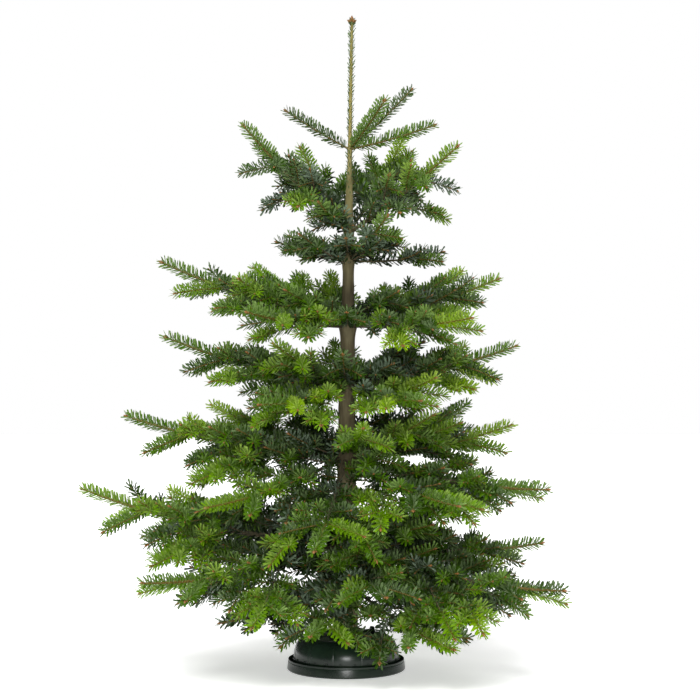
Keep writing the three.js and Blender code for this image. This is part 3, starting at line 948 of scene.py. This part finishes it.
# %% Needle tree: direction of each needle
outward = calc(needle_tree, "ABSOLUTE", across)
size = calc(needle_tree, "MULTIPLY", calc(needle_tree, "POWER", outward, 1.1), given.outputs["Widest Turn"])
turn = calc(needle_tree, "MULTIPLY", size, calc(needle_tree, "SIGN", across))
radial = mixed_by_turn(needle_tree, up, side, turn)
by_chance = node(
    needle_tree,
    "FunctionNodeRandomValue",
    {0: (-1.0, -1.0, -1.0), 1: (1.0, 1.0, 1.0), "Seed": given.outputs["Seed"]},
    data_type="FLOAT_VECTOR",
)
chances = node(needle_tree, "ShaderNodeSeparateXYZ", {0: by_chance.outputs[0]})
lean_on_top, lean_beneath = given.outputs["Lean On Top"], given.outputs["Lean Beneath"]
lean_range = calc(needle_tree, "SUBTRACT", lean_beneath, lean_on_top)
share = calc(needle_tree, "POWER", outward, 2.0)
full_lean = calc(needle_tree, "MULTIPLY_ADD", share, lean_range, lean_on_top)
uneven = calc(needle_tree, "MULTIPLY", chances.outputs["X"], lean_chance)
lean = calc(needle_tree, "MULTIPLY_ADD", full_lean, named(needle_tree, "spread"), uneven)
direction = mixed_by_turn(needle_tree, ahead, radial, lean)
print(len(needle_tree.nodes), "nodes so far")

# %% Needle tree: the needles themselves
skyward = vector_calc(
    needle_tree,
    "ADD",
    vector_calc(needle_tree, "ADD", up, vector_calc(needle_tree, "SCALE", ahead, face_ahead)),
    vector_calc(needle_tree, "SCALE", by_chance.outputs[0], face_chance),
)
axes = {"Primary Axis": direction, "Secondary Axis": skyward}
facing = node(needle_tree, "FunctionNodeAxesToRotation", axes, primary_axis="X", secondary_axis="Z")
uneven = calc(needle_tree, "MULTIPLY_ADD", chances.outputs["Y"], length_chance, 1.0)
long = calc(needle_tree, "MULTIPLY", named(needle_tree, "needle_length"), uneven)
wide = calc(needle_tree, "MULTIPLY", long, given.outputs["Breadth"])
size = node(needle_tree, "ShaderNodeCombineXYZ", {"X": long, "Y": wide, "Z": long}).outputs[0]
needles = placed(
    needle_tree, given.outputs["Needle"], row.outputs["Points"], facing.outputs["Rotation"], size
)
beneath = named(needle_tree, "under", "BOOLEAN")
finishes = [(given.outputs["Upper"], True), (given.outputs["Under"], beneath)]
end_tree(needle_tree, result, needles, finishes)

# %% [markdown]
# ### Dealing out the tones
#
# Needles near a bough's tip are young and fresh yellow-green, on older growth they are deep green or
# bluish, and toward the top they are greyer. The tones also carry painted light and shade: strands far
# out from the trunk get lighter tones as painted light, and strands inside the crown and near the floor
# get darker ones, down to near-black, as painted shade. Noise in one finish could mix these greens, but
# then a single needle might have two. So each strand gets a mark from its place and age, with a little
# chance by spray, and the mark picks its tone.

# %% Deal out tones
full_needle, top_needle, top_from, top_full = 32 * MM, 28 * MM, 1.55, 1.75
needle_pitch = dict(fresh=1.38, bright=1.48, leafy=1.64, deep=1.8, bluish=2.15, shaded=2.6)
pitch_by_age, pitch_of_leaders = (0.92, 1.1, 1.3), 0.85
crown_depth = 0.63  # the crown is narrower from front to back
always_lit = 1.6  # above this no bough stands in another's shade
mark_at_trunk, mark_by_reach, mark_by_age = 0.12, 0.62, -0.16
spray_chance, year_chance, lit_mark, lit_chance = 0.27, 0.12, 0.28, 0.2
crown_heights, crown_reaches = [0.2, 0.55, 1.2, 1.8], [0.62, 0.72, 0.5, 0.22]
shade_heights, shades = [0.3, 0.55, 0.75, 1.0, 1.5], [0.27, 0.06, -0.06, -0.02, 0.34]
tone_marks = (("shaded", -0.12), ("bluish", 0.12), ("deep", 0.36), ("leafy", 0.62), ("bright", 0.86))


def tone_of(strand):
    """The tone whose limit the strand's mark stays under."""
    shoot, middle = strand["shoot"], strand["points"][len(strand["points"]) // 2]
    from_trunk = math.hypot(middle[0] - trunk_axis(middle[2])[0], middle[1] / crown_depth)
    share = from_trunk / float(np.interp(middle[2], crown_heights, crown_reaches))
    # Painted light and shade: the further a strand reaches from the trunk, the higher its mark and the
    # lighter its tone; near the trunk the tones are darker.
    mark = mark_at_trunk + mark_by_reach * share + mark_by_age * strand["age"]
    mark += spray_chance * chance(shoot["spray"] or shoot["key"])
    mark += year_chance * chance(shoot["key"] + strand["age"])
    # Painted shade by height: low in the crown the mark drops toward darker tones; at the top it drops
    # toward the greyer green there, and above always_lit it is raised to at least the bluish tone, so that
    # no near-black painted shade falls there.
    mark -= float(np.interp(middle[2], shade_heights, shades))
    if middle[2] > always_lit:
        mark = max(mark, lit_mark + lit_chance * chance(shoot["key"]))
    for tone, most in tone_marks:
        if mark < most:
            return tone
    return "fresh"


def needle_numbers(strand):
    """Needle length, spread and pitch at each point. The last needles of a shoot fan out round its bud."""
    shoot, age = strand["shoot"], strand["age"]
    share = np.linspace(0, 1, len(strand["points"]))
    middle = strand["points"][len(strand["points"]) // 2]
    full = np.interp(middle[2], [top_from, top_full], [full_needle, top_needle])
    small = min(1.0, 0.76 + shoot["length"] / 0.4)
    length = full * small * np.interp(share, [0, 0.2, 0.75, 1], [0.75, 1, 1, 0.88])
    spread = np.interp(share, [0, 0.15, 1], [0.95, 1.05, 1])
    if age == 0:
        spread[-1] = 0.5
    pitch = needle_pitch[tone_of(strand)] * MM * pitch_by_age[min(age, 2)]
    if shoot["rank"] < 2 and age == 0:
        pitch *= pitch_of_leaders
    return length, spread, np.full(len(share), pitch)


by_tone = {tone: [s for s in strands if tone_of(s) == tone] for tone in needle_finishes}
for tone, its_strands in by_tone.items():
    print(tone, len(its_strands), "strands", round(sum(s["shoot"]["length"] for s in its_strands), 1), "m")

# %% [markdown]
# ### Setting the needles
#
# Every tone becomes one or more pieces, and none has more than a set number of needles, so that each
# stays a size that programs open easily. Strands in the shade carry fewer and broader needles, because
# no single one of them is seen there.

# %% Set the needles
needle_breadth = dict(fresh=1.0, bright=1.02, leafy=1.05, deep=1.12, bluish=1.28, shaded=1.45)
most_needles = 24000
foliage_nodes = sorted(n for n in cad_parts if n.startswith("foliage_"))


def strand_length(strand):
    return (strand["shares"][-1] - strand["shares"][0]) * strand["shoot"]["length"]


def batches(its_strands):
    """Splits strands into lots of no more than most_needles needles."""
    lots, left = [[]], 0.0
    for strand in its_strands:
        _, _, pitch = needle_numbers(strand)
        needles = strand_length(strand) / pitch[0]
        left += needles
        if left > most_needles:
            lots.append([])
            left = needles
        lots[-1].append(strand)
    return lots


def set_needles(name, lines, numbers, tone, settings):
    """Needles of one tone along lines, with each line's length, spread and pitch."""
    values = dict(zip(("needle_length", "spread", "pitch"), zip(*numbers)))
    upper, under = needle_finishes[tone]
    settings = {"Needle": needle, "Upper": upper, "Under": under, **settings}
    piece = grown_by(needle_tree, line_mesh("lines", lines, values), name, settings)
    print(piece.name, triangles(piece), "triangles")
    return piece


needle_total = 0
for number, (tone, its_strands) in enumerate(by_tone.items()):
    for lot, some in enumerate(batches(its_strands)):
        lines, numbers = [s["points"] for s in some], [needle_numbers(s) for s in some]
        settings = {
            "Widest Turn": 2.8, "Lean On Top": 1.18, "Lean Beneath": 0.66,
            "Breadth": needle_breadth[tone], "Seed": seed + 10 * number + lot,
        }  # fmt: skip
        piece = set_needles(f"needles_{tone}_{lot + 1}", lines, numbers, tone, settings)
        if needle_total == 0:
            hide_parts(*foliage_nodes)
        needle_total += triangles(piece)
print("needles in all", needle_total // needle_faces)

# %% [markdown]
# ### The leader
#
# The topmost shoot is upright. Its needles are shorter and narrower, and lie close to it all round, so
# that its pale bark shows between them. The stem below the top whorl has such needles too, and a tuft
# of small ones stands round the buds at the tip. The tree of nodes is the same, with other settings.

# %% Leader's needles
# Each stretch of the leader: from and to which height, needle length, spread and pitch.
leader_stretches = (
    (1.615, leader_end, 21, 1.0, 1.5),
    (1.44, 1.585, 24, 1.0, 2.0),
    (leader_end - 0.012, leader_end + 0.002, 15, 1.7, 0.3),
)
lines, numbers = [], []
for low, high, length, spread, pitch in leader_stretches:
    heights = np.arange(low, high, 4 * MM)
    lines.append(np.array([trunk_axis(z) for z in heights]))
    numbers.append([np.full(len(heights), value) for value in (length * MM, spread, pitch * MM)])
settings = {
    "Widest Turn": math.pi, "Lean On Top": 0.55, "Lean Beneath": 0.66, "Breadth": 0.9, "Seed": seed,
}  # fmt: skip
set_needles("leader_needles", lines, numbers, "deep", settings)

# %% [markdown]
# ## Buds
#
# Each shoot ends in a resinous brown bud, and the stronger ones carry a pair beside it. The leader has
# a ring of them, from which the next whorl would grow. A bud is a small pointed egg. A stretched sphere
# would have far more faces than three thousand buds can afford, so one bud is made from three rings,
# and Geometry Nodes stand it on a point at each tip and turn it the way that the shoot grows.

# %% One bud
def bud_shape():
    """A bud one unit long, along Z, with four sides and a point."""
    turns = np.linspace(0, 2 * math.pi, 4, endpoint=False)
    rings = [
        [(radius * math.cos(a), radius * math.sin(a), z) for a in turns]
        for radius, z in ((0.24, 0.0), (0.36, 0.42), (0.04, 1.0))
    ]
    made = plain_mesh("bud_shape", *skin(rings))
    made.data.shade_smooth()
    return made


bud = bud_shape()
bud_tree, given, result = new_tree("bud_tree", {"Bud": "Object", "Finish": "Material"})
facing = node(
    bud_tree,
    "FunctionNodeAlignRotationToVector",
    {"Vector": named(bud_tree, "facing", "FLOAT_VECTOR")},
    axis="Z",
)
points, size = given.outputs["Geometry"], named(bud_tree, "size")
standing = placed(bud_tree, given.outputs["Bud"], points, facing.outputs["Rotation"], size)
end_tree(bud_tree, result, standing, [(given.outputs["Finish"], True)])

# %% Buds at the tips
bud_lengths, side_bud_from, side_bud_turn = (14 * MM, 12 * MM, 9 * MM), 150 * MM, 0.95
side_bud_share, bud_sunk = 0.75, 0.25
crown_buds, crown_turn, crown_bud, top_bud = 6, 1.05, 15 * MM, 20 * MM
places, facings, sizes = [], [], []
for shoot in shoots:
    forward, side, _ = axes_at(shoot["arc"], 1.0)
    size = bud_lengths[min(shoot["rank"], 2)] * min(1.0, 0.62 + shoot["length"] / 0.5)
    places.append(shoot["arc"][2] - forward * bud_sunk * size)
    facings.append(forward)
    sizes.append(size)
    if shoot["length"] > side_bud_from and shoot["rank"] < 3:
        for hand in (-1, 1):
            places.append(shoot["arc"][2] - forward * 2 * bud_sunk * size)
            facings.append(forward * math.cos(side_bud_turn) + hand * side * math.sin(side_bud_turn))
            sizes.append(size * side_bud_share)
ways = [upward]
for turn in np.linspace(0, 2 * math.pi, crown_buds, endpoint=False):
    out = np.array([math.cos(turn), math.sin(turn), 0])
    ways.append(out * math.sin(crown_turn) + upward * math.cos(crown_turn))
places += [trunk_axis(leader_end - 2 * MM) + way * 2 * MM for way in ways]
facings += ways
sizes += [top_bud] + [crown_bud] * crown_buds
values = {"facing": [np.array(facings)], "size": [np.array(sizes)]}
carrier = line_mesh("bud_places", [np.array(places)], values)
buds = grown_by(bud_tree, carrier, "buds", {"Bud": bud, "Finish": bud_scale})
for shape_used in (needle, bud):
    bpy.data.objects.remove(shape_used)
print(buds.name, len(places), "buds,", triangles(buds), "triangles")

# %% [markdown]
# ## Stand
#
# The stand has two mouldings: a shallow tray that catches spilt water, and a domed body with a collar
# that holds the trunk between three screws. Cylinders could be cut and bevelled into shape, but both
# are round about the same upright line, so each is a profile turned round it. Rounded edges are part
# of the profile, because a moulding has no sharp ones.

# %% Turned profiles
_, tray_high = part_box("stand_tray")
body_low, body_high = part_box("stand_body")
round_sides = 96
round_turns = np.linspace(0, 2 * math.pi, round_sides, endpoint=False)


def turned(profile, turns=round_turns, dent=None):
    """Turns a closed profile of (radius, height) round the trunk's foot. A dent moves points inward."""
    dent = dent or (lambda turn, height: 0.0)
    points = []
    for turn in turns:
        for radius, height in profile:
            here = radius - dent(turn, height)
            points.append((here * math.cos(turn), here * math.sin(turn), height))
    count, sides = len(profile), len(turns)
    faces = []
    for i in range(sides):
        a, b = i * count, ((i + 1) % sides) * count
        faces += [(a + j, b + j, b + (j + 1) % count, a + (j + 1) % count) for j in range(count)]
    return points, faces


def rounded(corners, radius, steps=4):
    """The corners of a closed profile, each replaced by a small arc."""
    made = []
    for i, corner in enumerate(corners):
        here = np.array(corner, float)
        before, after = np.array(corners[i - 1]), np.array(corners[(i + 1) % len(corners)])
        cut = min(radius, np.linalg.norm(before - here) / 2.2, np.linalg.norm(after - here) / 2.2)
        first = here + unit(before - here) * cut
        last = here + unit(after - here) * cut
        for k in range(steps + 1):
            t = k / steps
            made.append((1 - t) ** 2 * first + 2 * t * (1 - t) * here + t * t * last)
    return made


# %% [markdown]
# ### Tray
#
# The tray's wall flares to its foot, and its lip is a thin upright edge above a small step.

# %% Tray
foot, lip_top, tray_wall, tray_axis, edge_round = tray_high.x, tray_high.z, 0.0036, 0.004, 0.0011
tray_profile = rounded(
    [
        (tray_axis, 0.0), (foot - 0.004, 0.0), (foot, 0.004), (foot - 0.0028, lip_top - 0.0075),
        (foot - 0.0036, lip_top - 0.0065), (foot - 0.0036, lip_top), (foot - 0.0066, lip_top),
        (foot - 0.0078, 0.0060), (foot - 0.0120, tray_wall), (tray_axis, tray_wall),
    ],
    edge_round,
)  # fmt: skip
tray = finished("tray", [turned(tray_profile)], ["stand_tray"], [moulded_plastic])
print(tray.name, triangles(tray), "triangles")

# %% [markdown]
# ### Body
#
# The body is one moulding: upright at its foot, domed above, then a level deck and a collar. A bead
# runs round its foot with a notch in it, and shallow seams divide the skirt into panels. A boolean
# could cut the seams, but a dent in the turned surface keeps their edges soft. More points stand close
# to each seam, where the surface bends, and few lie between.

# %% Body
panels, seam_depth, seam_width = 12, 0.0011, 0.0016
body_radius, upright, deck_radius, deck_height = body_high.x, 0.040, 0.116, 0.104
collar_radius, collar_high, well_radius, wall = 0.052, 0.122, 0.0465, 0.004
knee, dome_end, dome_steps = body_low.z + upright, 1.35, 14
seam_angles = [math.radians(360 * (i + 0.55) / panels) for i in range(panels)]
close_steps = np.array([-2.6, -1.5, -0.9, -0.4, 0, 0.4, 0.9, 1.5, 2.6]) * seam_width / body_radius
even_steps = np.linspace(0.12, 0.88, 6) * 2 * math.pi / panels
body_turns = sorted(a + step for a in seam_angles for step in (*close_steps, *even_steps))


def seam_dent(turn, height):
    """How deep the nearest seam is here; seams fade out on the deck."""
    apart = min(abs(math.remainder(turn - a, 2 * math.pi)) for a in seam_angles) * body_radius
    stops = [knee - 0.008, knee, deck_height - 0.006, deck_height - 0.002]
    fade = float(np.interp(height, stops, [0, 1, 1, 0]))
    return seam_depth * fade * math.exp(-((apart / seam_width) ** 2))


dome = [
    (deck_radius + (body_radius - deck_radius) * math.cos(a), knee + (deck_height - knee) * math.sin(a))
    for a in np.linspace(0, dome_end, dome_steps)
]
outside = [(body_radius, body_low.z), *dome, (deck_radius - 0.005, deck_height)]
inside = [
    (collar_radius + 0.0016, deck_height), (collar_radius, deck_height + 0.0016),
    (collar_radius, collar_high - 0.0016), (collar_radius - 0.0016, collar_high),
    (well_radius + 0.0012, collar_high), (well_radius, collar_high - 0.0012),
    (well_radius, body_low.z + 0.004), (well_radius + wall, body_low.z + 0.004),
    (well_radius + wall, deck_height - wall), (deck_radius - 0.008, deck_height - wall),
    (body_radius - 1.6 * wall, knee), (body_radius - wall, body_low.z),
]  # fmt: skip
body_parts = [turned([*outside, *inside], body_turns, seam_dent)]
floor_axis, floor_top, floor_round = 0.001, 0.0112, 0.0006
floor_corners = [
    (floor_axis, body_low.z), (well_radius, body_low.z), (well_radius, floor_top), (floor_axis, floor_top),
]  # fmt: skip
body_parts.append(turned(rounded(floor_corners, floor_round)))
print(len(body_turns), "columns of points round the skirt")

# %% [markdown]
# ### Bead, tabs and clamp screws
#
# The bead is an open ring with the notch left out, a little to the right of the front. Small tabs above
# it clip the body to the tray. Three screws go through the collar and hold the trunk. Their threads
# are rings along the shaft, and each knob has lobes for the fingers.

# %% Bead and tabs
notch_at, notch_half = math.radians(-85), 0.019
bead_radius, bead_height, bead_thick = body_radius + 0.0003, 0.0345, 0.0020
bead_steps, bead_sides = 120, 8
tab_out, tab_up, tab_sizes = 0.0008, 0.0052, (0.0036, 0.0065, 0.0034)


def upright_frame(turn):
    """The way out from the trunk's foot, and the way along the edge."""
    return np.array([math.cos(turn), math.sin(turn), 0]), np.array([-math.sin(turn), math.cos(turn), 0])


bead_rings = []
for turn in np.linspace(notch_at + notch_half, notch_at + 2 * math.pi - notch_half, bead_steps):
    out, _ = upright_frame(turn)
    bead_rings.append([
        out * (bead_radius + bead_thick * math.cos(a)) + upward * (bead_height + bead_thick * math.sin(a))
        for a in np.linspace(0, -2 * math.pi, bead_sides, endpoint=False)
    ])  # fmt: skip
body_parts.append(skin(bead_rings))


def block(middle, out, along_edge, sizes, bevel=0.0006):
    """A small block with bevelled edges; sizes are its depth, width and height."""
    rings = []
    depth, width, height = (v / 2 for v in sizes)
    for level, inset in ((-height, bevel), (-height + bevel, 0), (height - bevel, 0), (height, bevel)):
        d, w = depth - inset, width - inset
        corners = [(d, -w + bevel), (d, w - bevel), (d - bevel, w), (-d, w), (-d, -w), (d - bevel, -w)]
        rings.append([middle + out * x + along_edge * y + upward * level for x, y in corners])
    return skin(rings)


for i in range(2 * panels):
    turn = seam_angles[0] + math.pi * (i + 0.5) / panels
    out, along_edge = upright_frame(turn)
    place = out * (body_radius + tab_out) + upward * (bead_height + tab_up)
    body_parts.append(block(place, out, along_edge, tab_sizes))
print(2 * panels, "tabs")

# %% Clamp screws
screws, screw_height, screw_radius, thread_pitch, thread_depth = 3, 0.112, 0.0046, 0.0026, 0.0009
screw_from, knob_from, knob_length, knob_radius = 0.048, 0.0875, 0.009, 0.013
lobes, lobe_depth = 6, 0.07


def screw_parts(turn):
    """A threaded shaft, its knob and the boss that it goes through."""
    out, across = upright_frame(turn)

    def ring(distance, radius, sides, lobed=0.0):
        middle = out * distance + upward * screw_height
        made = []
        for a in np.linspace(0, 2 * math.pi, sides, endpoint=False):
            here = radius * (1 - lobed + lobed * math.cos(lobes * a))
            made.append(middle + here * (across * math.cos(a) + upward * math.sin(a)))
        return made

    shaft = []
    for distance in np.arange(screw_from, knob_from + 0.001, thread_pitch / 2):
        shaft.append(ring(distance, screw_radius - thread_depth * (len(shaft) % 2), 14))
    knob = []
    for share, size in ((0, 0.84), (0.12, 0.97), (0.25, 1), (0.75, 1), (0.88, 0.97), (1, 0.84)):
        knob.append(ring(knob_from + share * knob_length, knob_radius * size, 48, lobe_depth))
    boss = []
    for step, radius in ((-0.002, 0.0085), (0.004, 0.0085), (0.0052, 0.0074)):
        boss.append(ring(collar_radius + step, radius, 20))
    return [skin(shaft), skin(knob), skin(boss)]


for i in range(screws):
    body_parts += screw_parts(2 * math.pi * (i + 0.25) / screws)
stand_body = finished("stand_moulding", body_parts, ["stand_body"], [moulded_plastic])
print(stand_body.name, triangles(stand_body), "triangles")
